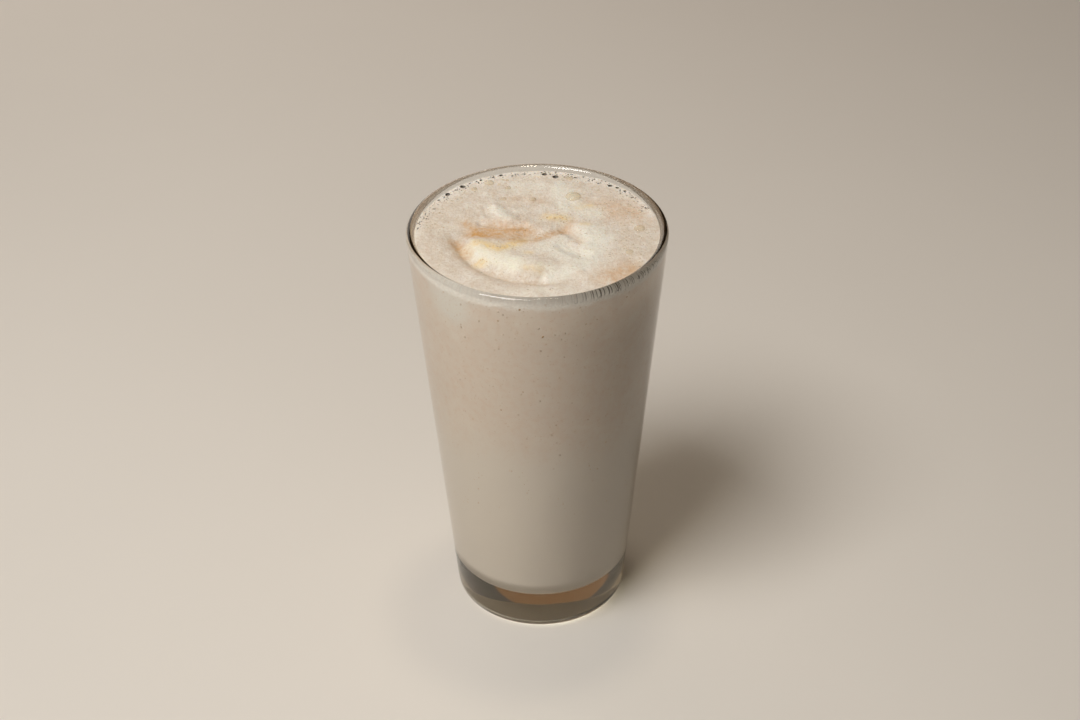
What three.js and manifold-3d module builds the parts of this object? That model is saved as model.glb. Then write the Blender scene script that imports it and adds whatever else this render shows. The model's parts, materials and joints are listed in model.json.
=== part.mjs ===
// A milkshake in a conical pint glass: the glass, the shake that fills it and the froth on top.
// Millimetres, +Z up. The origin is the middle of the foot, on the surface that the glass stands on.
// Seen from the front, +X is to the right and +Y is away.
import * as THREE from "three";
import { mergeVertices } from "three/addons/utils/BufferGeometryUtils.js";
import Module from "manifold-3d";

const wasm = await Module();
wasm.setup();

// Driving dimensions of the glass
const GLASS_HEIGHT = 151.5;
const RIM_DIAMETER = 89; // across the straight wall, carried up to the rim
const FOOT_DIAMETER = 60.6; // across the straight wall, carried down to the table
const RIM_WALL = 3.0;
const FLOOR_WALL = 4.0;
const FLOOR_THICKNESS = 13.5;
const FOOT_ROUND = 4.2;
const BOWL_ROUND = 8;
const FOOT_RING_WIDTH = 5;
const PUNT_DEPTH = 1.0;

// Driving dimensions of what is in it
const FROTH_DROP = 1.8; // from the rim down to the froth at the wall
const FROTH_THICKNESS = 8;
const GAP = 0.3; // between one solid and the next

// How finely each round is cut
const GLASS_SIDES = 80;
const SHAKE_SIDES = 72;
const FROTH_SIDES = 90;
const FROTH_RINGS = 26;
const BUBBLE_SIDES = 12;
const PUNT_STEPS = 4;
const FOOT_STEPS = 6;
const LIP_STEPS = 8;
const BOWL_STEPS = 7;

// The outer and inner faces of the wall are cones: radius = foot + slope * height.
const outer = {
  foot: FOOT_DIAMETER / 2,
  slope: (RIM_DIAMETER - FOOT_DIAMETER) / 2 / GLASS_HEIGHT,
};
const innerAtRim = RIM_DIAMETER / 2 - RIM_WALL;
const innerAtFloor = outer.foot + outer.slope * FLOOR_THICKNESS - FLOOR_WALL;
const innerSlope = (innerAtRim - innerAtFloor) / (GLASS_HEIGHT - FLOOR_THICKNESS);
const inner = { foot: innerAtRim - innerSlope * GLASS_HEIGHT, slope: innerSlope };

const radiusAt = (cone, z) => cone.foot + cone.slope * z;
const slant = (cone) => Math.hypot(1, cone.slope);
const lean = (cone) => Math.atan(cone.slope);

// The middle of the arc that rounds a corner of this radius between a level face and a cone
function cornerBetween(level, cone, round) {
  const z = level + round;
  return { x: radiusAt(cone, z) - round * slant(cone), z };
}

const footCorner = cornerBetween(0, outer, FOOT_ROUND);
const bowlCorner = cornerBetween(FLOOR_THICKNESS, inner, BOWL_ROUND);

// A profile of radius against height, turned about the upright axis
function turned(points, sides) {
  return new THREE.LatheGeometry(points, sides).rotateX(Math.PI / 2);
}

// A round stretch of a profile, which turns to the left unless it is clockwise
function arc(x, z, radius, from, to, steps, clockwise = false) {
  return new THREE.EllipseCurve(x, z, radius, radius, from, to, clockwise).getPoints(steps);
}

// The glass: a shallow punt, a flat foot ring, a rounded foot, a straight wall, a full-round lip and a bowl
function glassGeometry() {
  const puntX = footCorner.x - FOOT_RING_WIDTH;
  const puntRound = (puntX ** 2 + PUNT_DEPTH ** 2) / (2 * PUNT_DEPTH);
  const puntZ = PUNT_DEPTH - puntRound;
  const lipRound = RIM_WALL / (slant(outer) + slant(inner) + outer.slope - inner.slope);
  const lipZ = GLASS_HEIGHT - lipRound;
  const lipX = radiusAt(outer, lipZ) - lipRound * slant(outer);
  const profile = [
    ...arc(0, puntZ, puntRound, Math.PI / 2, Math.atan2(-puntZ, puntX), PUNT_STEPS, true),
    ...arc(footCorner.x, footCorner.z, FOOT_ROUND, -Math.PI / 2, -lean(outer), FOOT_STEPS),
    ...arc(lipX, lipZ, lipRound, -lean(outer), Math.PI - lean(inner), LIP_STEPS),
    ...arc(bowlCorner.x, bowlCorner.z, BOWL_ROUND, -lean(inner), -Math.PI / 2, BOWL_STEPS, true),
    new THREE.Vector2(0, FLOOR_THICKNESS),
  ];
  return turned(profile, GLASS_SIDES);
}

// The shake fills the bowl from its floor up to the underside of the froth.
const FROTH_LEVEL = GLASS_HEIGHT - FROTH_DROP;
const FROTH_BASE = FROTH_LEVEL - FROTH_THICKNESS;
const SHAKE_TOP = FROTH_BASE - GAP;

const fillRadius = (z) => radiusAt(inner, z) - GAP * slant(inner);

function shakeGeometry() {
  const profile = [
    new THREE.Vector2(0, FLOOR_THICKNESS + GAP),
    ...arc(bowlCorner.x, bowlCorner.z, BOWL_ROUND - GAP, -Math.PI / 2, -lean(inner), BOWL_STEPS),
    new THREE.Vector2(fillRadius(SHAKE_TOP), SHAKE_TOP),
    new THREE.Vector2(0, SHAKE_TOP),
  ];
  return turned(profile, SHAKE_SIDES);
}

// The froth's top stands in soft folds. Each shape below is in plan, with its height or depth.
const COLLAR = { radius: 36, width: 5.5, height: 0.4 };
const FOLD = { x: 1, y: -1, radius: 30.3, from: 180, to: 288, fade: 18, width: 2.3, depth: 1.3 };
const DOLLOPS = [
  { x: -11, y: -17.5, long: 16, wide: 7.5, turn: -29, height: 0.9 },
  { x: 6, y: -20, long: 12, wide: 8, turn: 10, height: 0.6 },
  { x: -12.5, y: 12, long: 6, wide: 2.8, turn: 127, height: 1.0 },
  { x: 18, y: -0.5, long: 7, wide: 4, turn: 110, height: 0.8 },
  { x: 9.5, y: 20, long: 11, wide: 6, turn: 105, height: 0.4 },
  { x: -20, y: 19.5, long: 11, wide: 7, turn: 35, height: 0.4 },
];
const CREASES = [
  { from: [-23, 1], to: [-4, 0], width: 3.0, depth: 0.9 },
  { from: [-4, 0], to: [8, 2], width: 2.2, depth: 0.9 },
  { from: [-19, 7.2], to: [-12, 5.2], width: 1.6, depth: 0.8 },
  { from: [-16.8, 16], to: [-16.3, 11.5], width: 1.5, depth: 0.7 },
  { from: [10, 3], to: [14.7, -4.6], width: 1.7, depth: 1.2 },
  { from: [9.5, -9], to: [14.5, -13.7], width: 1.9, depth: 0.8 },
];
const BUBBLES = [
  { x: 12.5, y: 22.7, radius: 2.7 },
  { x: -16.7, y: 33.3, radius: 1.7 },
  { x: 34.6, y: 1.8, radius: 1.9 },
  { x: 30.6, y: -13.4, radius: 1.4 },
  { x: -1.5, y: 21.8, radius: 1.3 },
  { x: -11.6, y: 22.5, radius: 1.2 },
  { x: 11.4, y: 35.8, radius: 1.4 },
];
const BUBBLE_SINK = 0.65; // how far a bubble's middle lies under the froth, in radii
const PIT_ANGLES = [140, 130, 108, 86, 81, 50, 46]; // round the back of the glass, in degrees from +X
const PIT = { inset: 1.9, radius: 1.0 };
const RIPPLE = { waves: 7, longest: 15, shortest: 5, steepness: 0.011, turn: 137.5 };

const radians = THREE.MathUtils.degToRad;
const fadedIn = (value, over) => THREE.MathUtils.smoothstep(value, 0, over);
const bell = (distance, width) => Math.exp(-((distance / width) ** 2));

function foldDepth(x, y) {
  const dx = x - FOLD.x;
  const dy = y - FOLD.y;
  const bearing = THREE.MathUtils.euclideanModulo(THREE.MathUtils.radToDeg(Math.atan2(dy, dx)), 360);
  const ends = fadedIn(bearing - FOLD.from, FOLD.fade) * fadedIn(FOLD.to - bearing, FOLD.fade);
  return FOLD.depth * ends * bell(Math.hypot(dx, dy) - FOLD.radius, FOLD.width);
}

function dollopHeight(dollop, x, y) {
  const turn = radians(dollop.turn);
  const along = (x - dollop.x) * Math.cos(turn) + (y - dollop.y) * Math.sin(turn);
  const across = (y - dollop.y) * Math.cos(turn) - (x - dollop.x) * Math.sin(turn);
  return dollop.height * bell(Math.hypot(along / dollop.long, across / dollop.wide), 1);
}

function creaseDepth(crease, x, y) {
  const line = new THREE.Line3(new THREE.Vector3(...crease.from, 0), new THREE.Vector3(...crease.to, 0));
  const point = new THREE.Vector3(x, y, 0);
  const nearest = line.closestPointToPoint(point, true, new THREE.Vector3());
  return crease.depth * bell(nearest.distanceTo(point), crease.width);
}

function rippleHeight(x, y) {
  let height = 0;
  for (let wave = 0; wave < RIPPLE.waves; wave++) {
    const length = THREE.MathUtils.lerp(RIPPLE.longest, RIPPLE.shortest, wave / (RIPPLE.waves - 1));
    const heading = radians(RIPPLE.turn * wave);
    const along = x * Math.cos(heading) + y * Math.sin(heading);
    height += RIPPLE.steepness * length * Math.sin((2 * Math.PI * along) / length + wave);
  }
  return height;
}

function frothTop(x, y) {
  let height = COLLAR.height * bell(Math.hypot(x, y) - COLLAR.radius, COLLAR.width) + rippleHeight(x, y);
  for (const dollop of DOLLOPS) {
    height += dollopHeight(dollop, x, y);
  }
  for (const crease of CREASES) {
    height -= creaseDepth(crease, x, y);
  }
  return FROTH_LEVEL + height - foldDepth(x, y);
}

// A plain disc of froth, with the points of its top moved up and down to the folds
function frothDisc() {
  const edge = fillRadius(FROTH_LEVEL);
  const profile = [new THREE.Vector2(0, FROTH_BASE), new THREE.Vector2(fillRadius(FROTH_BASE), FROTH_BASE)];
  for (let ring = 0; ring <= FROTH_RINGS; ring++) {
    profile.push(new THREE.Vector2(edge * (1 - ring / FROTH_RINGS), FROTH_LEVEL));
  }
  const disc = turned(profile, FROTH_SIDES);
  const place = disc.attributes.position;
  for (let i = 0; i < place.count; i++) {
    if (place.getZ(i) > FROTH_BASE + FROTH_THICKNESS / 2) {
      place.setZ(i, frothTop(place.getX(i), place.getY(i)));
    }
  }
  return disc;
}

// A round bubble, whole or burst, with its middle under the froth's surface
function bubbleGeometry(x, y, radius) {
  const ball = new THREE.SphereGeometry(radius, BUBBLE_SIDES, BUBBLE_SIDES / 2).rotateX(Math.PI / 2);
  return ball.translate(x, y, frothTop(x, y) - BUBBLE_SINK * radius);
}

// Joins and cuts work on closed meshes whose shared corners are merged.
function solidOf(geometry) {
  const bare = geometry.clone();
  bare.deleteAttribute("normal");
  bare.deleteAttribute("uv");
  const merged = mergeVertices(bare);
  return new wasm.Manifold(
    new wasm.Mesh({
      numProp: 3,
      vertProperties: new Float32Array(merged.attributes.position.array),
      triVerts: new Uint32Array(merged.index.array),
    }),
  );
}

function geometryOf(solid) {
  const mesh = solid.getMesh();
  const geometry = new THREE.BufferGeometry();
  geometry.setAttribute("position", new THREE.BufferAttribute(mesh.vertProperties, mesh.numProp));
  geometry.setIndex(new THREE.BufferAttribute(mesh.triVerts, 1));
  geometry.computeVertexNormals();
  return geometry;
}

// The froth has whole bubbles standing on it, and burst ones that leave pits along the back of the wall.
function frothGeometry() {
  let froth = solidOf(frothDisc());
  for (const { x, y, radius } of BUBBLES) {
    froth = froth.add(solidOf(bubbleGeometry(x, y, radius)));
  }
  const pitReach = fillRadius(FROTH_LEVEL) - PIT.inset;
  for (const angle of PIT_ANGLES) {
    const x = pitReach * Math.cos(radians(angle));
    const y = pitReach * Math.sin(radians(angle));
    froth = froth.subtract(solidOf(bubbleGeometry(x, y, PIT.radius)));
  }
  return geometryOf(froth);
}

const finishes = {
  glass: { color: 0xe4ece4, roughness: 0.04, metalness: 0, transparent: true, opacity: 0.35 },
  shake: { color: 0xe2d2bc, roughness: 0.35, metalness: 0 },
  froth: { color: 0xe8d8c2, roughness: 0.6, metalness: 0 },
};

function piece(name, geometry) {
  const mesh = new THREE.Mesh(geometry, new THREE.MeshStandardMaterial(finishes[name]));
  mesh.name = name;
  return mesh;
}

const milkshake = new THREE.Group();
milkshake.add(
  piece("glass", glassGeometry()),
  piece("shake", shakeGeometry()),
  piece("froth", frothGeometry()),
);

export default milkshake;
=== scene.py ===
import json
import math

import bmesh
import bpy
import numpy as np
from mathutils import Matrix, Vector

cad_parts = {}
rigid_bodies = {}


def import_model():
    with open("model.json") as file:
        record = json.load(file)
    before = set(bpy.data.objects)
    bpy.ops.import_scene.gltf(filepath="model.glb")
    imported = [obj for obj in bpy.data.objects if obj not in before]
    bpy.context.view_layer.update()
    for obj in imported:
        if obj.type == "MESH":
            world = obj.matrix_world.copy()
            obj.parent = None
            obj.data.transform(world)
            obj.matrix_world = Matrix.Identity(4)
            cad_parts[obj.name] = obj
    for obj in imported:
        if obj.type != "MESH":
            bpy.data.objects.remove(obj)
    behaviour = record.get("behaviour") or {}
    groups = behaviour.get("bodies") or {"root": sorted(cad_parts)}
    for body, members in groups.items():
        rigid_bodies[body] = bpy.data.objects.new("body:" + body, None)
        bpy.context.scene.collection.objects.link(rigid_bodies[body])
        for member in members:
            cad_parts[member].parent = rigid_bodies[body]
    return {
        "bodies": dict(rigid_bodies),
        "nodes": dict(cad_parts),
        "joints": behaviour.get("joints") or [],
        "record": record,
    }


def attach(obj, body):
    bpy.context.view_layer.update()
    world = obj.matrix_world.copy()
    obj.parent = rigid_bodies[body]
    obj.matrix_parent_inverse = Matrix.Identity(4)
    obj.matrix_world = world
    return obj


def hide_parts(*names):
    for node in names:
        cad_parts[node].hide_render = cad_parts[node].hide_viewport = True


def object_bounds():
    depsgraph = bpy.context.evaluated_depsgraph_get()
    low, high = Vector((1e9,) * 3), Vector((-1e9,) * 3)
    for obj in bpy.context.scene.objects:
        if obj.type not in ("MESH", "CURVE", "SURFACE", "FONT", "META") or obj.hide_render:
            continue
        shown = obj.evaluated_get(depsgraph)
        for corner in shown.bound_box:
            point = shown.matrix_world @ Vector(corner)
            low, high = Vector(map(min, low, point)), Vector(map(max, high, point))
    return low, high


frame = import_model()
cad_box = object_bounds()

# Camera
# A long lens looks down on the glass from the front, a little under a metre away.
# The picture is rolled by about half a degree.
LENS = 0.078216
SENSOR_WIDTH = 0.036
VIEW_DISTANCE = 0.82088
VIEW_PITCH = math.radians(34.6343)
VIEW_ROLL = math.radians(-0.623)
AIM = Vector((0.00046, 0, 0.097505))
PER_MM = 1000

bpy.ops.object.camera_add()
camera = bpy.context.object
camera.data.lens = LENS * PER_MM
camera.data.sensor_width = SENSOR_WIDTH * PER_MM
tilt = Matrix.Rotation(math.pi / 2 - VIEW_PITCH, 4, "X")
roll = Matrix.Rotation(VIEW_ROLL, 4, "Z")
camera.matrix_world = Matrix.Translation(AIM) @ tilt @ roll @ Matrix.Translation((0, 0, VIEW_DISTANCE))
bpy.context.scene.camera = camera

# Floor
# A plain pale board that the glass stands on, painted matt.
# It is only the stage: the paint has a faint cloudiness and a fine tooth.
FLOOR_WIDTH = 8
PALE_PAINT = (0.75, 0.715, 0.665, 1)
PALER_PAINT = (0.80, 0.765, 0.715, 1)


class Signal:
    """A value on its way through a material's nodes. Sums on it add Math nodes."""

    def __init__(self, tree, socket=None):
        self.tree = tree
        self.socket = socket

    def node(self, kind, settings=None, inputs=None, output=0):
        """Adds a node, makes its settings, feeds its sockets with values or signals, and gives one output."""
        node = self.tree.nodes.new("ShaderNode" + kind)
        for name, value in (settings or {}).items():
            setattr(node, name, value)
        for name, value in (inputs or {}).items():
            if isinstance(value, Signal):
                self.tree.links.new(value.socket, node.inputs[name])
            else:
                node.inputs[name].default_value = value
        return Signal(self.tree, node.outputs[output] if node.outputs else None)

    def maths(self, operation, first, second):
        return self.node("Math", {"operation": operation}, {0: first, 1: second})

    def __add__(self, other):
        return self.maths("ADD", self, other)

    def __sub__(self, other):
        return self.maths("SUBTRACT", self, other)

    def __rsub__(self, other):
        return self.maths("SUBTRACT", other, self)

    def __mul__(self, other):
        return self.maths("MULTIPLY", self, other)

    __radd__ = __add__
    __rmul__ = __mul__

    def rising(self, low, high):
        """0 below low and 1 above high, with a soft step between."""
        step = {"interpolation_type": "SMOOTHSTEP"}
        return self.node("MapRange", step, {"Value": self, "From Min": low, "From Max": high})

    def tint(self, first, second):
        """The first colour where this is 0, and the second where it is 1."""
        return self.node("Mix", {"data_type": "RGBA"}, {0: self, 6: first, 7: second}, output=2)

    def noise(self, size, detail=2):
        """Soft cloudy noise from 0 to 1 over points, with clouds of about this size in metres."""
        return self.node("TexNoise", {}, {"Vector": self, "Scale": 1 / size, "Detail": detail})

    def cells(self, size):
        """The distance from the middle of the nearest of many round cells of about this size in metres."""
        return self.node("TexVoronoi", {}, {"Vector": self, "Scale": 1 / size, "Randomness": 1})

    def away_from(self, place):
        """How far points lie from one place, in metres."""
        return self.node("VectorMath", {"operation": "DISTANCE"}, {0: self, 1: place}, output="Value")

    def bump(self, depth, strength):
        """The surface's normal, tipped by this height."""
        return self.node("Bump", {}, {"Height": self, "Distance": depth, "Strength": strength})


def start_material(name):
    """A bare material and its points in metres, in the part's own frame."""
    material = bpy.data.materials.new(name)
    material.use_nodes = True
    material.node_tree.nodes.clear()
    points = Signal(material.node_tree).node("TexCoord", output="Object")
    return material, points


bpy.ops.mesh.primitive_plane_add(size=FLOOR_WIDTH)
floor = bpy.context.object
floor.name = "floor"
floor_paint, points = start_material("pale_board")
paint = points.node(
    "BsdfPrincipled",
    {},
    {
        "Base Color": points.noise(0.25, 3).tint(PALE_PAINT, PALER_PAINT),
        "Roughness": points.noise(0.02).rising(0, 1) * 0.1 + 0.6,
        "Specular IOR Level": 0.25,
        "Normal": points.noise(0.0015).bump(0.0001, 0.15),
    },
)
points.node("OutputMaterial", {}, {"Surface": paint})
floor.data.materials.append(floor_paint)

# Studio light
# A large soft box hangs over the left shoulder of the glass, and a smaller warm one almost overhead.
# Behind stand a weak one that only fills the back, and a dim amber screen that shows in the clear foot.
# The room is dim, so the right side of the glass falls into shade.
SOFT_BOXES = (
    {
        "name": "key",
        "shape": "SQUARE",
        "place": (-0.36, -0.38, 1.01),
        "width": 0.45,
        "power": 9.1,
        "colour": (1, 0.97, 0.93),
        "seen_in_glass": True,
    },
    {
        "name": "lamp",
        "shape": "SQUARE",
        "place": (0.03, 0.10, 0.95),
        "width": 0.10,
        "power": 0.9,
        "colour": (1, 0.86, 0.66),
        "seen_in_glass": True,
    },
    {
        "name": "fill",
        "shape": "SQUARE",
        "place": (-0.40, 0.90, 0.35),
        "width": 0.70,
        "power": 1.7,
        "colour": (1, 0.93, 0.84),
        "seen_in_glass": False,
    },
    {
        "name": "screen",
        "shape": "DISK",
        "place": (-0.15, 1.0, 0.42),
        "width": 1.3,
        "power": 0.55,
        "colour": (1, 0.40, 0.04),
        "seen_in_glass": True,
    },
)
LIGHT_AIM = Vector((0, 0, 0.11))
ROOM_COLOUR = (1, 0.85, 0.70, 1)
ROOM_STRENGTH = 0.05

for box in SOFT_BOXES:
    bpy.ops.object.light_add(type="AREA", location=box["place"])
    light = bpy.context.object
    light.name = box["name"]
    light.data.shape = box["shape"]
    light.data.size = box["width"]
    light.data.energy = box["power"]
    light.data.color = box["colour"]
    light.visible_camera = False
    light.visible_transmission = box["seen_in_glass"]
    light.rotation_euler = (LIGHT_AIM - light.location).to_track_quat("-Z", "Y").to_euler()
room = bpy.data.worlds.new("studio")
room.use_nodes = True
room.node_tree.nodes["Background"].inputs["Color"].default_value = ROOM_COLOUR
room.node_tree.nodes["Background"].inputs["Strength"].default_value = ROOM_STRENGTH
bpy.context.scene.world = room
bpy.context.scene.view_settings.view_transform = "Standard"

# Glass
# A plain pressed pint glass of clear soda-lime glass: a straight conical wall on a thick foot.
# The lip is fire-polished to a full round, and the foot has a rounded edge and a shallow hollow.
MM = 0.001
GLASS_HEIGHT = cad_box[1][2]
RIM_RADIUS = 44.48 * MM
FOOT_RADIUS = 30.3 * MM
RIM_WALL = 3.0 * MM
FLOOR_WALL = 4.0 * MM
GLASS_FLOOR = 13.5 * MM
FOOT_ROUND = 4.2 * MM
BOWL_ROUND = 8 * MM
FOOT_RING_WIDTH = 5 * MM
PUNT_DEPTH = 1.0 * MM
PUNT_STEPS = 6
GLASS_SIDES = 320
LIP_SEGMENTS = 8
FOOT_SEGMENTS = 10
BOWL_SEGMENTS = 14
NEAR = 0.01 * MM
SHARP_CORNER = math.radians(40)
GLASS_TINT = (0.985, 0.99, 0.985, 1)
GLASS_ABSORBS = (0.93, 0.895, 0.80, 1)
GLASS_DENSITY = 40

wall_slope = (RIM_RADIUS - FOOT_RADIUS) / GLASS_HEIGHT
bowl_at_rim = RIM_RADIUS - RIM_WALL
bowl_at_floor = FOOT_RADIUS + wall_slope * GLASS_FLOOR - FLOOR_WALL
bowl_slope = (bowl_at_rim - bowl_at_floor) / (GLASS_HEIGHT - GLASS_FLOOR)


def bowl_radius(z):
    """The radius of the bowl's inner face at a height."""
    return bowl_at_floor + bowl_slope * (z - GLASS_FLOOR)


def corner_offset(radius, slope):
    """How far from its corner an edge between a level face and a leaning wall is cut, for a round of this radius."""
    return radius * math.tan((math.pi / 2 - math.atan(slope)) / 2)


def open_piece(name):
    """Names the primitive just added, sets its place into its mesh and opens it for editing."""
    piece = bpy.context.object
    piece.name = name
    piece.data.name = name
    bpy.ops.object.transform_apply(location=True, rotation=True, scale=True)
    bpy.ops.object.mode_set(mode="EDIT")
    return piece


def pick(kind, test, add=False):
    """Selects the vertices, edges or faces being edited whose corners all pass a test of radius and height."""
    bpy.ops.mesh.select_mode(type=kind)
    if not add:
        bpy.ops.mesh.select_all(action="DESELECT")
    mesh = bmesh.from_edit_mesh(bpy.context.edit_object.data)
    items = {"VERT": mesh.verts, "EDGE": mesh.edges, "FACE": mesh.faces}[kind]
    for item in items:
        corners = [item.co] if kind == "VERT" else [corner.co for corner in item.verts]
        if all(test(math.hypot(place.x, place.y), place.z) for place in corners):
            item.select_set(True)
    mesh.select_flush_mode()
    bmesh.update_edit_mesh(bpy.context.edit_object.data)


def pick_ring(radius, height, add=False):
    """Selects the loop of edges at one radius and height."""
    pick("EDGE", lambda r, z: abs(r - radius) < NEAR and abs(z - height) < NEAR, add)


def scale_level(factor, height):
    """Scales what is selected about the axis, at one height."""
    bpy.ops.transform.resize(value=(factor, factor, 1), center_override=(0, 0, height))


def raise_by(height):
    """Moves what is selected straight up."""
    bpy.ops.transform.translate(value=(0, 0, height))


def close_piece():
    """Ends the editing with smooth faces: sharp corners stay sharp, and wide faces keep their own direction."""
    bpy.ops.object.mode_set(mode="OBJECT")
    bpy.ops.object.shade_smooth_by_angle(angle=SHARP_CORNER)
    bpy.ops.object.modifier_add(type="WEIGHTED_NORMAL")
    bpy.context.object.modifiers[-1].keep_sharp = True
    bpy.ops.object.modifier_apply(modifier=bpy.context.object.modifiers[-1].name)


bpy.ops.object.select_all(action="DESELECT")
bpy.ops.mesh.primitive_cylinder_add(
    vertices=GLASS_SIDES, radius=FOOT_RADIUS, depth=GLASS_HEIGHT, location=(0, 0, GLASS_HEIGHT / 2)
)
glass = open_piece("clear_glass")
pick("FACE", lambda r, z: z > GLASS_HEIGHT - NEAR)
scale_level(RIM_RADIUS / FOOT_RADIUS, GLASS_HEIGHT)
bpy.ops.mesh.inset(thickness=RIM_WALL)
bpy.ops.mesh.extrude_region_move(TRANSFORM_OT_translate={"value": (0, 0, GLASS_FLOOR - GLASS_HEIGHT)})
scale_level(bowl_at_floor / bowl_at_rim, GLASS_FLOOR)

foot_cut = corner_offset(FOOT_ROUND, wall_slope)
punt_radius = FOOT_RADIUS - foot_cut - FOOT_RING_WIDTH
pick("FACE", lambda r, z: z < NEAR)
bpy.ops.mesh.inset(thickness=FOOT_RADIUS - punt_radius)
for step in range(PUNT_STEPS):
    bpy.ops.mesh.inset(thickness=punt_radius / (PUNT_STEPS + 1))
    inside = 1 - step / (PUNT_STEPS + 1)
    further = 1 - (step + 1) / (PUNT_STEPS + 1)
    raise_by(PUNT_DEPTH * (inside**2 - further**2))

pick_ring(RIM_RADIUS, GLASS_HEIGHT)
pick_ring(bowl_at_rim, GLASS_HEIGHT, add=True)
bpy.ops.mesh.bevel(offset=RIM_WALL * 0.497, segments=LIP_SEGMENTS, profile=0.5, affect="EDGES")
pick_ring(FOOT_RADIUS, 0)
bpy.ops.mesh.bevel(offset=foot_cut, segments=FOOT_SEGMENTS, profile=0.5, affect="EDGES")
pick_ring(bowl_at_floor, GLASS_FLOOR)
bowl_cut = corner_offset(BOWL_ROUND, bowl_slope)
bpy.ops.mesh.bevel(offset=bowl_cut, segments=BOWL_SEGMENTS, profile=0.5, affect="EDGES")
close_piece()

clear_glass, points = start_material("clear_soda_lime_glass")
smudges = points.noise(0.018, 4).rising(0.5, 0.8)
pressed_glass = points.node(
    "BsdfPrincipled",
    {},
    {
        "Base Color": GLASS_TINT,
        "Roughness": smudges * 0.02,
        "IOR": 1.5,
        "Transmission Weight": 1,
        "Normal": points.noise(0.02, 1).bump(0.0002, 0.05),
    },
)
lamp_light = points.node("BsdfTransparent", {}, {"Color": GLASS_TINT})
shadow_ray = points.node("LightPath", output="Is Shadow Ray")
see_through = points.node("MixShader", {}, {0: shadow_ray, 1: pressed_glass, 2: lamp_light})
depth_of_glass = points.node("VolumeAbsorption", {}, {"Color": GLASS_ABSORBS, "Density": GLASS_DENSITY})
points.node("OutputMaterial", {}, {"Surface": see_through, "Volume": depth_of_glass})
glass.data.materials.append(clear_glass)
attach(glass, "root")
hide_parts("glass")

# Shake
# Blended milk that fills the bowl from its floor to the underside of the froth.
# It wets the wall, so its skin is drawn just inside the glass; ground spice and fine bubbles cloud its upper part.
WETTING = 0.1 * MM
FROTH_LEVEL = GLASS_HEIGHT - 1.8 * MM
FROTH_BASE = FROTH_LEVEL - 8 * MM
SHAKE_TOP = FROTH_BASE + 0.5 * MM
SHAKE_SIDES = 192
SETTLED_MILK = (0.69, 0.63, 0.565, 1)
BLENDED_MILK = (0.69, 0.61, 0.535, 1)
PINK_MILK = (0.67, 0.545, 0.455, 1)
PALE_MILK = (0.72, 0.67, 0.595, 1)
MOTE_MILK = (0.57, 0.41, 0.285, 1)
PATCH_MILK = (0.70, 0.705, 0.67, 1)
HEAD_MILK = (0.775, 0.77, 0.74, 1)
FOAM_WHITE = (0.92, 0.895, 0.84, 1)
STRAND_GAP_SHADE = (0.15, 0.125, 0.095, 1)
CLOUDED_FROM = 70 * MM
CLOUDED_TO = 98 * MM
HEAD_FROM = 145.2 * MM
HEAD_TO = 147.6 * MM
PALE_PLACE = (-28.3 * MM, -29.3 * MM, 142 * MM)
STRANDS_PLACE = (29 * MM, -29 * MM, 149.5 * MM)

bpy.ops.object.select_all(action="DESELECT")
shake_floor = GLASS_FLOOR - WETTING
bpy.ops.mesh.primitive_cylinder_add(
    vertices=SHAKE_SIDES,
    radius=bowl_radius(shake_floor) + WETTING,
    depth=SHAKE_TOP - shake_floor,
    location=(0, 0, (SHAKE_TOP + shake_floor) / 2),
)
shake = open_piece("blended_shake")
pick("FACE", lambda r, z: z > SHAKE_TOP - NEAR)
scale_level((bowl_radius(SHAKE_TOP) + WETTING) / (bowl_radius(shake_floor) + WETTING), SHAKE_TOP)
pick_ring(bowl_radius(shake_floor) + WETTING, shake_floor)
bpy.ops.mesh.bevel(offset=bowl_cut, segments=BOWL_SEGMENTS, profile=0.5, affect="EDGES")
close_piece()

blended_milk, points = start_material("blended_milk")
height = points.node("SeparateXYZ", {}, {"Vector": points}, output="Z")
clouded = (height + points.noise(0.02) * 0.02 - 0.01).rising(CLOUDED_FROM, CLOUDED_TO)
head = (height + points.noise(0.006) * 0.004 - 0.002).rising(HEAD_FROM, HEAD_TO)
pale_patch = 1 - (points.away_from(PALE_PLACE) + points.noise(0.008, 3) * 0.008 - 0.004).rising(0.004, 0.013)
drawn_down = points.node("VectorMath", {"operation": "MULTIPLY"}, {0: points, 1: (1, 1, 0.2)})
beside_strands = 1 - points.away_from(STRANDS_PLACE).rising(0.010, 0.028)
ragged = height + points.noise(0.0014, 3) * 0.005 - 0.0025
near_lip = ragged.rising(147.0 * MM, 149.0 * MM) * beside_strands
strands = drawn_down.noise(0.00042, 2).rising(0.51, 0.59)
foam = points.noise(0.0009, 3).rising(0.35, 0.7)
pink = points.noise(0.0024, 3).rising(0.4, 0.75) * clouded
pale = points.noise(0.008, 2).rising(0.5, 0.8) * clouded
grain = points.cells(0.0007).rising(0.1, 0.65) * clouded
milk = clouded.tint(SETTLED_MILK, BLENDED_MILK)
milk = (pink * 0.65).tint(milk, PINK_MILK)
milk = (pale * 0.6).tint(milk, PALE_MILK)
milk = (pale_patch * 0.7).tint(milk, PATCH_MILK)
milk = (head * 0.75).tint(milk, HEAD_MILK)
milk = (head * foam * 0.5).tint(milk, FOAM_WHITE)
milk = (grain * 0.2).tint(milk, PINK_MILK)
milk = (points.noise(0.0010, 2).rising(0.62, 0.74) * clouded * 0.42).tint(milk, MOTE_MILK)
milk = (near_lip * (1 - strands) * 0.9).tint(milk, FOAM_WHITE)
# Between the white foam strands under the lip, thin dark lines are painted: painted shade in the gaps.
milk = (near_lip * strands * 0.9).tint(milk, STRAND_GAP_SHADE)
side_of_milk = points.node(
    "BsdfPrincipled",
    {},
    {
        "Base Color": milk,
        "Roughness": 0.5 + grain * 0.15,
        "Specular IOR Level": 0.1,
        "Normal": (grain * -1).bump(0.00002, 0.15),
    },
)
points.node("OutputMaterial", {}, {"Surface": side_of_milk})
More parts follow.
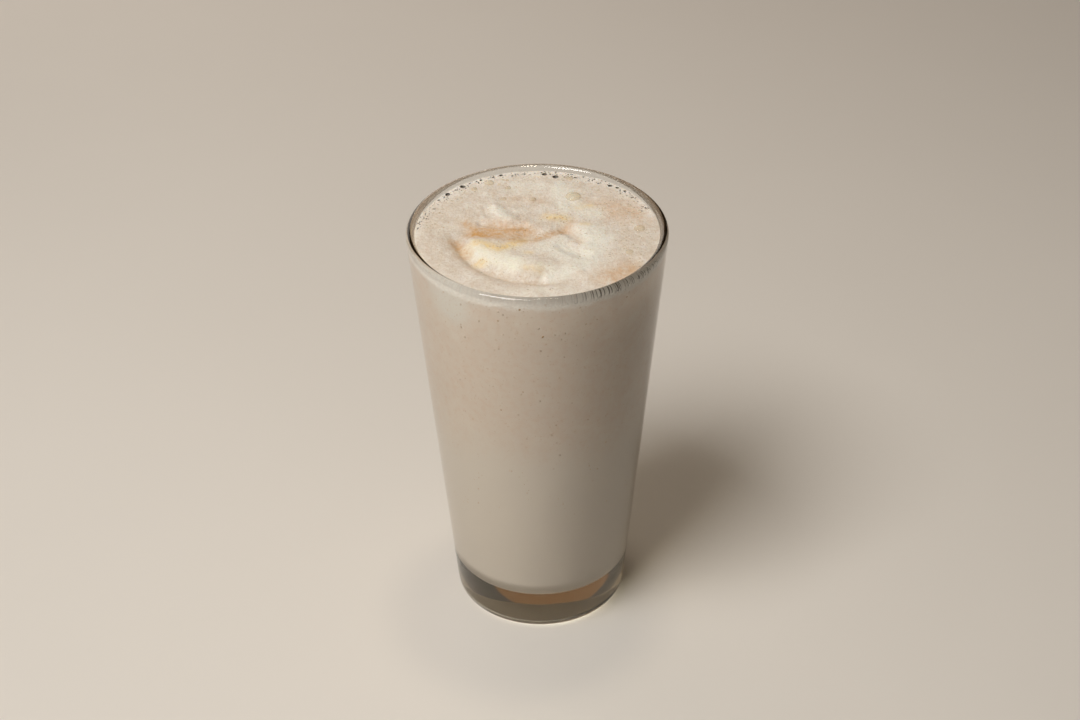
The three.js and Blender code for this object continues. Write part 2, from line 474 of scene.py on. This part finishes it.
shake.data.materials.append(blended_milk)
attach(shake, "root")
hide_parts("shake")

# Froth
# The head of milk froth, folded over itself as it was poured: fine bubbles, soft folds and smooth cream.
# It clings to the wall. Burst bubbles leave small open pits, most of them along the back of the glass.
FROTH_SIDES = 208
FROTH_RINGS = 58
PUSH_BAND = 0.45 * MM
FROTH_LIFTS = (
    {"line": [(-21.5, -10.5), (-13.5, -16.5), (-4, -21.5)], "lift": 0.9, "reach": 12},
    {"line": [(0, -22), (12, -20)], "lift": 0.5, "reach": 12},
    {"line": [(-15, 15.6), (-12.6, 11.5), (-9.8, 8.8)], "lift": 0.95, "reach": 4.3},
    {"line": [(17, 3), (19, -4)], "lift": 0.6, "reach": 7.5},
    {"line": [(8.3, 28), (11.5, 15.5)], "lift": 0.45, "reach": 11},
    {"line": [(-23, 17.5), (-17, 21.5)], "lift": 0.4, "reach": 12},
    {"line": [(-22, 1), (-12.6, 1.4), (-4, -0.6)], "lift": -0.9, "reach": 6.5},
    {"line": [(-4, -0.8), (3, -1), (8, 2)], "lift": -0.6, "reach": 4},
    {"line": [(8, 2), (11.6, 6.9)], "lift": -0.35, "reach": 4},
    {"line": [(-17, 9.5), (-11, 8), (-4, 7.5)], "lift": 0.4, "reach": 3},
    {"line": [(-19, 7.2), (-15.5, 6.4), (-12, 5.4), (-5, 5)], "lift": -0.75, "reach": 2.1},
    {"line": [(-17, 16.5), (-16.3, 11.7)], "lift": -0.45, "reach": 2.4},
    {"line": [(10.1, 2.9), (13, -2.3), (14.7, -4.6)], "lift": -1.05, "reach": 3.4},
    {"line": [(9, -8), (11.5, -10.5), (14.3, -13.7)], "lift": -1.0, "reach": 4.5},
)
COLLAR = {"radius": 36, "lift": 0.15, "reach": 9}
FOLD = {"centre": (1, -1), "radius": 27.6}
FOLD_STRETCHES = ((181, 287, -1.0, 7), (184, 277, -0.75, 4), (188, 270, -0.55, 2.6))
ARC_STEP = 2
UNEVENNESS = ((9, 0.7), (3.2, 0.25), (1.2, 0.18))
UNEVEN_DEPTH = 1


def arc_points(centre, radius, start, end):
    """Points along an arc between two bearings in degrees, counted from +X."""
    bearings = np.radians(np.arange(start, end + ARC_STEP, ARC_STEP))
    return [(centre[0] + radius * math.cos(b), centre[1] + radius * math.sin(b)) for b in bearings]


def distance_to_line(plan, line):
    """How far each point of a plan is from a line through a few points, in the plan's own units."""
    nearest = np.full(len(plan), np.inf)
    for start, end in zip(line[:-1], line[1:]):
        start, way = np.array(start), np.subtract(end, start)
        share = np.clip((plan - start) @ way / max(way @ way, 1e-9), 0, 1)
        nearest = np.minimum(nearest, np.linalg.norm(plan - start - share[:, None] * way, axis=1))
    return nearest


def places_of(piece):
    """The places of a mesh's vertices."""
    places = np.empty(len(piece.data.vertices) * 3)
    piece.data.vertices.foreach_get("co", places)
    return places.reshape(-1, 3)


def push_line(piece, line, lift, reach):
    """Lifts or sinks the top along a line, with a soft falloff on both sides, as with proportional editing."""
    places = places_of(piece)
    on_top = places[:, 2] > (FROTH_LEVEL + FROTH_BASE) / 2
    chosen = on_top & (distance_to_line(places[:, :2] / MM, line) * MM < PUSH_BAND)
    piece.data.vertices.foreach_set("select", chosen)
    piece.data.edges.foreach_set("select", np.zeros(len(piece.data.edges), bool))
    piece.data.polygons.foreach_set("select", np.zeros(len(piece.data.polygons), bool))
    bpy.ops.object.mode_set(mode="EDIT")
    bpy.ops.transform.translate(
        value=(0, 0, lift * MM),
        use_proportional_edit=True,
        proportional_edit_falloff="SMOOTH",
        proportional_size=reach * MM,
    )
    bpy.ops.object.mode_set(mode="OBJECT")


def apply_modifier(kind, **settings):
    """Adds a modifier to the piece at hand, makes its settings and applies it."""
    bpy.ops.object.modifier_add(type=kind)
    modifier = bpy.context.object.modifiers[-1]
    for name, value in settings.items():
        setattr(modifier, name, value)
    bpy.ops.object.modifier_apply(modifier=modifier.name)


bpy.ops.object.select_all(action="DESELECT")
bpy.ops.mesh.primitive_cylinder_add(
    vertices=FROTH_SIDES,
    radius=bowl_radius(FROTH_BASE) + WETTING,
    depth=FROTH_LEVEL - FROTH_BASE,
    location=(0, 0, (FROTH_LEVEL + FROTH_BASE) / 2),
)
froth = open_piece("milk_froth")
froth_edge = bowl_radius(FROTH_LEVEL) + WETTING
pick("FACE", lambda r, z: z > FROTH_LEVEL - NEAR)
scale_level(froth_edge / (bowl_radius(FROTH_BASE) + WETTING), FROTH_LEVEL)
for ring in range(FROTH_RINGS - 1):
    bpy.ops.mesh.inset(thickness=froth_edge / FROTH_RINGS)
bpy.ops.mesh.merge(type="CENTER")
pick("FACE", lambda r, z: z > FROTH_LEVEL - NEAR)
bpy.ops.mesh.subdivide(number_cuts=1)
bpy.ops.mesh.select_mode(type="VERT")
bpy.ops.object.mode_set(mode="OBJECT")

push_line(froth, arc_points((0, 0), COLLAR["radius"], 0, 360), COLLAR["lift"], COLLAR["reach"])
for fold in FROTH_LIFTS:
    push_line(froth, fold["line"], fold["lift"], fold["reach"])
for start, end, lift, reach in FOLD_STRETCHES:
    push_line(froth, arc_points(FOLD["centre"], FOLD["radius"], start, end), lift, reach)

top = froth.vertex_groups.new(name="top")
top.add([v.index for v in froth.data.vertices if v.co.z > (FROTH_LEVEL + FROTH_BASE) / 2], 1, "REPLACE")
for size, height in UNEVENNESS:
    clouds = bpy.data.textures.new("froth_unevenness", "CLOUDS")
    clouds.noise_scale = size * MM
    clouds.noise_depth = UNEVEN_DEPTH
    apply_modifier(
        "DISPLACE",
        texture=clouds,
        texture_coords="LOCAL",
        direction="Z",
        strength=height * MM,
        vertex_group="top",
    )

# Froth: burst bubbles, cut out as round pits that do not touch one another
rng = np.random.default_rng(21)
OPEN_BUBBLES = ((140, 1.1, 0.9), (130, 1.3, 1.05), (108, 0.9, 0.65), (86, 2.5, 0.9), (83, 2.1, 0.4), (80, 3.7, 1.1))
MORE_OPEN_BUBBLES = ((69, 2.5, 0.4), (50, 1.8, 0.75), (46, 1.2, 0.65), (41, 1.0, 0.55), (119, 1.2, 0.45), (147, 1.0, 0.5))
BACK_PITS = {"count": 240, "bearings": (20, 176), "inset": (0.35, 3.2), "radius": (0.12, 0.34)}
ALL_OVER_PITS = {"count": 260, "bearings": (0, 360), "inset": (1.0, 34), "radius": (0.10, 0.22)}
PIT_CLEARANCE = 0.06
PIT_SINK = 0.55


def froth_height(x, y):
    """The height of the froth's top at a place, with both in millimetres."""
    hit, place, normal, face = froth.ray_cast(Vector((x * MM, y * MM, GLASS_HEIGHT)), Vector((0, 0, -1)))
    return place.z / MM


def polar(bearing, inset):
    """A place given by its bearing in degrees and how far it is in from the wall, in millimetres."""
    reach = froth_edge / MM - inset
    return reach * math.cos(math.radians(bearing)), reach * math.sin(math.radians(bearing))


def scatter(rule, taken):
    """Places and sizes drawn by a rule, without any that would touch one that is taken."""
    found = []
    for _ in range(rule["count"]):
        x, y = polar(rng.uniform(*rule["bearings"]), rng.uniform(*rule["inset"]))
        small, large = rule["radius"]
        radius = small + (large - small) * rng.random() ** 2
        others = np.array(taken + found)
        if np.all(np.hypot(others[:, 0] - x, others[:, 1] - y) > others[:, 2] + radius + PIT_CLEARANCE):
            found.append((x, y, radius))
    return found


def joined_copies(name, pattern, frames):
    """One mesh made of copies of a small pattern mesh, each put in place by its own matrix."""
    corners = np.array([vertex.co for vertex in pattern.vertices])
    faces = np.array([face.vertices for face in pattern.polygons])
    spots = [corners @ np.array(frame.to_3x3()).T + np.array(frame.translation) for frame in frames]
    tied = [faces + index * len(corners) for index in range(len(frames))]
    mesh = bpy.data.meshes.new(name)
    mesh.from_pydata(np.concatenate(spots).tolist(), [], np.concatenate(tied).tolist())
    piece = bpy.data.objects.new(name, mesh)
    bpy.context.scene.collection.objects.link(piece)
    return piece


def small_ball(subdivisions):
    """The mesh of a ball of radius 1, of few triangles."""
    bpy.ops.object.select_all(action="DESELECT")
    bpy.ops.mesh.primitive_ico_sphere_add(subdivisions=subdivisions, radius=1)
    ball = bpy.context.object.data
    bpy.data.objects.remove(bpy.context.object)
    return ball


def make_active(piece):
    """Selects one piece alone, for the operators that act on the piece at hand."""
    bpy.ops.object.select_all(action="DESELECT")
    piece.select_set(True)
    bpy.context.view_layer.objects.active = piece


open_bubbles = [(*polar(bearing, inset), size) for bearing, inset, size in OPEN_BUBBLES + MORE_OPEN_BUBBLES]
back_pits = scatter(BACK_PITS, open_bubbles)
fine_pits = scatter(ALL_OVER_PITS, open_bubbles + back_pits)
pits = open_bubbles + back_pits + fine_pits
for ball, group in ((small_ball(3), open_bubbles + back_pits), (small_ball(2), fine_pits)):
    frames = []
    for x, y, radius in group:
        centre = Vector((x, y, froth_height(x, y) - PIT_SINK * radius))
        frames.append(Matrix.Translation(centre * MM) @ Matrix.Scale(radius * MM, 4))
    cutter = joined_copies("froth_pits", ball, frames)
    make_active(froth)
    apply_modifier("BOOLEAN", object=cutter, operation="DIFFERENCE", solver="MANIFOLD")
    bpy.data.objects.remove(cutter)
bpy.ops.object.shade_smooth_by_angle(angle=SHARP_CORNER)

# Froth: where the cream, the white milk, the caramel streaks, the blushes and the coarse bubbles lie, in plan, and
# where shade is painted along the fold and a crease
CREAM = (
    ([(-22.5, -9.5), (-15.5, -15.5), (-8, -20)], 4.5, 1),
    ([(-8, -20), (3, -22)], 4.5, 0.5),
    ([(-8, -9), (-3, -14)], 5, 0.4),
)
WHITE = (
    ([(-15, 15.5), (-9.8, 8.8)], 2.6, 1),
    ([(18, 0), (21, -5), (15, -18), (6, -9)], 6.2, 1),
    ([(8.5, 29), (11.5, 15.5), (19, 12.5)], 5.2, 1),
    ([(13, -21), (5, -27)], 4.5, 0.8),
    ([(-6, 30), (4, 31)], 7, 0.5),
    ([(-8, -36.5), (10, -36.5)], 5, 0.45),
)
TAN_AND_FOLD_SHADE = (
    ([(-31, -23), (-38, -6), (-36, 5), (-33, 17)], 7, 1),
    ([(36, 4), (34, -12)], 8, 0.7),
    ([(24, 14), (32, 12)], 6, 0.6),
    # This arc tans the outer side of the fold's trough darker: painted shade. The lines above are the froth's own
    # tan.
    (arc_points(FOLD["centre"], FOLD["radius"] + 1.6, 186, 284), 2.8, 1.2),
)
CARAMEL = (
    ([(-21.5, 1.2), (-16.2, -1.2)], 2.6, 1),
    ([(-20.5, 2.2), (-14, 0.8), (-7, -0.3)], 4, 0.58),
    ([(-24.5, 7), (-22.5, 5)], 2.4, 0.5),
    ([(-14, -2.4), (-8, -3.6), (-1.7, -4.3)], 2.4, 0.55),
    ([(-1.7, -4.3), (3.1, -1), (7.9, 1.8)], 1.8, 0.65),
    ([(7.9, 1.8), (11.6, 6.9)], 1.6, 0.4),
    ([(-9, 3.4), (-4, 2.5)], 2.2, 0.6),
    ([(24, -28), (30, -24)], 4.5, 0.3),
    ([(-18, 3.2), (-11, 3.4), (-4, 1.5)], 3.2, 0.5),
    ([(-27.5, -4), (-25.5, -8.5), (-23.8, -12)], 2.4, 0.6),
)
AMBER = (
    ([(-20, -7), (-13, -10.5), (-8, -7), (-5, -4)], 2.4, 0.95),
    ([(3.5, 10.5), (9.5, 9)], 2.0, 0.8),
    ([(15.5, 4.5), (17, 4.5)], 1.4, 0.5),
    ([(-19.5, -17.4), (-18, -17.4)], 1.6, 0.8),
    ([(13, 16), (18, 17)], 1.8, 0.4),
    ([(-3.4, -12.7), (-2.2, -12.7)], 1.2, 0.6),
    ([(-4, -23.5), (1, -24.2)], 1.5, 0.45),
)
BLUSH_AND_CREASE_SHADE = (
    ([(-19, 3.4), (-12, 3.8), (-4, 3)], 4.2, 1),
    ([(25, -28), (30, -24)], 5.5, 0.9),
    ([(20, 15), (34, 13)], 6.5, 1),
    ([(0, 21.4), (-9, 22.8)], 3, 0.5),
    # The next two lines darken the crease right of the middle and the outer side of the fold: painted shade.
    ([(10.5, 2.9), (14.7, -4.6)], 1.8, 0.8),
    (arc_points(FOLD["centre"], FOLD["radius"] + 1.8, 188, 278), 2.6, 0.5),
)
COARSE = (
    ([(22, 14), (33, 8), (34, -8)], 9, 1),
    (arc_points((0, 0), 38, 25, 170), 3.5, 1),
    ([(-37, 2), (-34, 13)], 5, 1),
)
LACE = (
    (arc_points((0, 0), froth_edge / MM, 15, 145), 3.5, 1),
    (arc_points((0, 0), froth_edge / MM, 145, 180), 2.5, 0.6),
)


def lay_mask(piece, name, lines):
    """Keeps on each vertex how close it lies to any of these lines of some width and strength, from 0 to 1."""
    plan = places_of(piece)[:, :2] / MM
    mask = np.zeros(len(plan))
    for line, width, strength in lines:
        mask = np.maximum(mask, strength * np.exp(-((distance_to_line(plan, line) / width) ** 2)))
    piece.data.attributes.new(name, "FLOAT", "POINT").data.foreach_set("value", mask)


MASKS = {"cream": CREAM, "white": WHITE, "tan_and_fold_shade": TAN_AND_FOLD_SHADE, "caramel": CARAMEL, "amber": AMBER, "blush_and_crease_shade": BLUSH_AND_CREASE_SHADE}
for name, lines in (MASKS | {"coarse": COARSE, "lace": LACE}).items():
    lay_mask(froth, name, lines)
lay_mask(froth, "burst", [([(x, y), (x, y)], radius, 1) for x, y, radius in open_bubbles + back_pits])

FROTH_TAN = (0.675, 0.60, 0.51, 1)
FROTH_PALE = (0.785, 0.735, 0.66, 1)
CREAM_WHITE = (0.895, 0.87, 0.75, 1)
MILK_WHITE = (0.85, 0.84, 0.76, 1)
CARAMEL_TAN = (0.58, 0.325, 0.12, 1)
AMBER_CREAM = (0.82, 0.63, 0.31, 1)
BLUSH_AND_SHADE_TAN = (0.68, 0.505, 0.36, 1)
SPECKLE_AND_SHADE_TAN = (0.52, 0.38, 0.265, 1)
PAINTED_PIT_SHADE = (0.05, 0.035, 0.022, 1)

milk_froth, points = start_material("milk_froth")


def mask_of(name):
    """A mask kept on the froth's vertices."""
    return points.node("Attribute", {"attribute_name": name}, output="Fac")


def patch(name):
    """A mask with its edge broken up by clouds."""
    return (mask_of(name) + (points.noise(0.003, 5) - 0.5) * 0.7).rising(0.1, 0.95)


def wash(name):
    """A mask as a thin, grainy wash of colour."""
    blotches = points.noise(0.0012, 4).rising(0.35, 0.65) + points.noise(0.003, 3).rising(0.3, 0.7)
    return mask_of(name) * (blotches * 0.55 + 0.3)


fine = points.cells(0.0006)
coarse = points.cells(0.0012)
bubbliness = patch("coarse")
cream = patch("cream")
white = patch("white")
smooth = cream * 0.6 + white * 0.4
domes = 1 - (fine * 0.7 + coarse * (0.3 + bubbliness * 0.4))
hollow_shade = 1 - fine.rising(0.05, 0.45)
speckle = points.noise(0.0009, 2).rising(0.45, 0.7)
foam = points.noise(0.0016, 2).rising(0.45, 0.7)
froth_colour = points.noise(0.0045, 4).rising(0.3, 0.7).tint(FROTH_TAN, FROTH_PALE)
# The tan and blush washes are partly the froth's own tint and partly painted shade along the fold and a crease.
froth_colour = (wash("tan_and_fold_shade") * 0.9).tint(froth_colour, FROTH_TAN)
froth_colour = (wash("blush_and_crease_shade") * 0.8).tint(froth_colour, BLUSH_AND_SHADE_TAN)
froth_colour = (white * 0.8).tint(froth_colour, MILK_WHITE)
froth_colour = (mask_of("lace") * 0.6).tint(froth_colour, FOAM_WHITE)
froth_colour = (cream * 0.9).tint(froth_colour, CREAM_WHITE)
froth_colour = (foam * (1 - smooth) * 0.22).tint(froth_colour, FOAM_WHITE)
froth_colour = (speckle * (1 - smooth * 0.8) * 0.32).tint(froth_colour, SPECKLE_AND_SHADE_TAN)
# The middle of each fine cell is tinted darker: painted shade of the foam's small hollows.
froth_colour = (hollow_shade * (1 - smooth * 0.8) * 0.5).tint(froth_colour, SPECKLE_AND_SHADE_TAN)
froth_colour = (wash("amber") * 0.8).tint(froth_colour, AMBER_CREAM)
froth_colour = wash("caramel").tint(froth_colour, CARAMEL_TAN)
# Inside the open pits the froth is painted near black: painted shade of the hollows.
burst = mask_of("burst").rising(0.25, 0.5)
froth_colour = (burst * 0.95).tint(froth_colour, PAINTED_PIT_SHADE)
froth_skin = points.node(
    "BsdfPrincipled",
    {},
    {
        "Base Color": froth_colour,
        "Roughness": 0.5 - white * 0.2 - cream * 0.12 + speckle * 0.1,
        "Specular IOR Level": 0.4,
        "Subsurface Weight": 0.5,
        "Subsurface Radius": (1, 0.8, 0.6),
        "Subsurface Scale": 0.0004,
        "Normal": (domes * (1 - smooth * 0.7)).bump(0.0002, 0.6),
    },
)
points.node("OutputMaterial", {}, {"Surface": froth_skin})
froth.data.materials.clear()
froth.data.materials.append(milk_froth)
froth.data.materials.append(blended_milk)
sides = []
for face in froth.data.polygons:
    reach = math.hypot(face.center.x, face.center.y)
    sides.append(face.normal.z < -0.9 or reach > bowl_radius(face.center.z) + WETTING / 2)
froth.data.polygons.foreach_set("material_index", np.array(sides, int))
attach(froth, "root")
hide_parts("froth")

# Bubbles
# Whole bubbles stand on the froth: thin wet films of milk, each a low dome that is sunk to its widest part.
# The largest ones lie where they show; small ones crowd along the back of the wall and to the right.
WHOLE_BUBBLES = (
    (12.5, 22.7, 2.7),
    (-16.7, 33.3, 1.7),
    (34.6, 1.8, 1.9),
    (30.6, -13.4, 1.4),
    (-1.5, 21.8, 1.2),
    (-11.6, 22.5, 1.1),
    (11.4, 35.8, 1.4),
    (-21.8, 28.8, 1.2),
    (-10.1, 29.9, 1.1),
)
SMALL_BUBBLES = (
    {"count": 110, "bearings": (20, 175), "inset": (0.8, 7), "radius": (0.2, 0.6)},
    {"count": 100, "bearings": (-35, 40), "inset": (1, 16), "radius": (0.18, 0.45)},
    {"count": 80, "bearings": (0, 360), "inset": (1, 38), "radius": (0.15, 0.35)},
)
BUBBLE_FLATNESS = 0.45
FILM_EDGE = (0.70, 0.62, 0.49, 1)
FILM_MILK = (0.82, 0.75, 0.63, 1)
FILM_TINT = (0.975, 0.955, 0.90, 1)

bubbles = list(WHOLE_BUBBLES)
for rule in SMALL_BUBBLES:
    bubbles += scatter(rule, bubbles + pits)
frames = []
for x, y, radius in bubbles:
    centre = Vector((x, y, froth_height(x, y)))
    shape = Matrix.Diagonal((radius * MM, radius * MM, radius * BUBBLE_FLATNESS * MM, 1))
    frames.append(Matrix.Translation(centre * MM) @ shape)
film = joined_copies("froth_bubbles", small_ball(3), frames)
make_active(film)
bpy.ops.object.shade_smooth()
bubble_film, points = start_material("bubble_film")
film_skin = points.node(
    "BsdfPrincipled",
    {},
    {
        "Base Color": points.noise(0.002).tint(FILM_EDGE, FILM_MILK),
        "Roughness": points.noise(0.001).rising(0, 1) * 0.06 + 0.06,
        "Coat Weight": 0.5,
    },
)
clear = points.node("BsdfTransparent", {}, {"Color": FILM_TINT})
edge_on = points.node("LayerWeight", {}, {"Blend": 0.35}, output="Facing")
thin_film = points.node("MixShader", {}, {0: edge_on * 0.45 + 0.1, 1: clear, 2: film_skin})
points.node("OutputMaterial", {}, {"Surface": thin_film})
film.data.materials.append(bubble_film)
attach(film, "root")

# Specks
# Ground spice blended into the drink: flat brown and amber flecks, each well under a millimetre across.
# They hang in the milk against the wall, thinning out downwards, and lie on the froth round the caramel streaks.
WALL_SPECK_THICKNESS = 0.12
TOP_SPECK_THICKNESS = 0.35
SEEN_SPECKS = (
    (-8.1, 146.4, 0.38, 1.2, 0.1),
    (-18.3, 140.7, 0.33, 1.1, 0.35),
    (-38.0, 134.9, 0.28, 1, 0.35),
    (2.1, 135.3, 0.32, 2.4, 0.15),
    (1.0, 129.3, 0.36, 1.3, 0.55),
    (-39.1, 111.6, 0.28, 1, 0.45),
    (-23.1, 112.0, 0.25, 1, 0.5),
    (-7.9, 111.4, 0.30, 1.4, 0.5),
    (-18.8, 128.9, 0.26, 1.6, 0.6),
    (-14.0, 142.6, 0.24, 1, 0.45),
    (43.5, 143.8, 0.36, 1.4, 0.35),
    (27.5, 139.1, 0.30, 1, 0.4),
    (22.0, 138.2, 0.27, 1, 0.5),
    (3.5, 132.1, 0.22, 1, 0.3),
    (12.0, 126.0, 0.26, 1.4, 0.55),
    (-19.7, 102.2, 0.30, 1.2, 0.25),
    (16.7, 105.4, 0.22, 1.2, 0.45),
    (8.6, 96.5, 0.26, 1.2, 0.4),
    (26.0, 96.3, 0.30, 1, 0.35),
    (-40.0, 55.0, 0.30, 1, 0.3),
)
SIDE_SPECKS = (
    {"count": 260, "size": (0.16, 0.36), "sunk": (0.62, 0.9)},
    {"count": 520, "size": (0.07, 0.16), "sunk": (0.25, 0.7)},
)
SPECKS_FROM = 50
SPECKS_TO = 146
TOP_SPECKS = (
    ([(-23, 2), (-8, 0), (8, 1)], 4, 46),
    ([(-13.7, -10.9), (-9.5, -5.3)], 4, 26),
    ([(3, 9.5), (10.5, 9.5)], 2.4, 26),
    ([(-19.5, -17.4), (-18, -17.4)], 2.5, 10),
    ([(-30, 0), (30, 0)], 26, 90),
)
TOP_SPECK_SIZES = (0.10, 0.24)
SPECK_BROWN = (0.31, 0.15, 0.05, 1)
SPECK_AMBER = (0.62, 0.37, 0.11, 1)


def speck_frame(place, out, size, length, thickness):
    """A flat fleck that lies on a surface, turned by chance; its thickness is a share of its size."""
    lie = Vector(out).to_track_quat("Z", "Y").to_matrix().to_4x4()
    turn = Matrix.Rotation(rng.uniform(-0.5, 0.5) if length > 1 else rng.uniform(0, math.pi), 4, "Z")
    shape = Matrix.Diagonal((size * MM, size * length * MM, size * thickness * MM, 1))
    return Matrix.Translation(Vector(place)) @ lie @ turn @ shape


def wall_speck(azimuth, height, size, length):
    """A fleck in the milk against the wall, at an azimuth in degrees from the front."""
    reach = bowl_radius(height * MM) + WETTING
    way = Vector((math.sin(math.radians(azimuth)), -math.cos(math.radians(azimuth)), 0))
    place = way * reach + Vector((0, 0, height * MM))
    return speck_frame(place, way, size, length, WALL_SPECK_THICKNESS)


frames = [wall_speck(*seen[:4]) for seen in SEEN_SPECKS]
sunk = [seen[4] for seen in SEEN_SPECKS]
amber = list(rng.uniform(0.2, 0.7, len(SEEN_SPECKS)))
for rule in SIDE_SPECKS:
    for _ in range(rule["count"]):
        height = SPECKS_TO - (SPECKS_TO - SPECKS_FROM) * rng.random() ** 1.5
        frames.append(wall_speck(rng.uniform(0, 360), height, rng.uniform(*rule["size"]), rng.uniform(1, 1.8)))
        sunk.append(rng.uniform(*rule["sunk"]))
        amber.append(rng.random())
for line, width, count in TOP_SPECKS:
    for _ in range(count):
        share = rng.random()
        x, y = np.array(line[0]) * (1 - share) + np.array(line[-1]) * share + rng.normal(0, width / 2, 2)
        if math.hypot(x, y) < froth_edge / MM - 1:
            place = Vector((x, y, froth_height(x, y))) * MM
            size = rng.uniform(*TOP_SPECK_SIZES)
            length = rng.uniform(1, 1.6)
            frames.append(speck_frame(place, (0, 0, 1), size, length, TOP_SPECK_THICKNESS))
            sunk.append(rng.uniform(0.1, 0.6))
            amber.append(rng.uniform(0.6, 1))
fleck = small_ball(1)
specks = joined_copies("spice_specks", fleck, frames)
for name, values in (("sunk", sunk), ("amber", amber)):
    kept = specks.data.attributes.new(name, "FLOAT", "POINT")
    kept.data.foreach_set("value", np.repeat(values, len(fleck.vertices)))
make_active(specks)
bpy.ops.object.shade_smooth()
spice, points = start_material("ground_spice")
hue = points.node("Attribute", {"attribute_name": "amber"}, output="Fac").tint(SPECK_BROWN, SPECK_AMBER)
spice_skin = points.node(
    "BsdfPrincipled",
    {},
    {
        "Base Color": points.node("Attribute", {"attribute_name": "sunk"}, output="Fac").tint(hue, BLENDED_MILK),
        "Roughness": points.noise(0.0005).rising(0, 1) * 0.2 + 0.5,
        "Specular IOR Level": 0.1,
    },
)
points.node("OutputMaterial", {}, {"Surface": spice_skin})
specks.data.materials.append(spice)
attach(specks, "root")
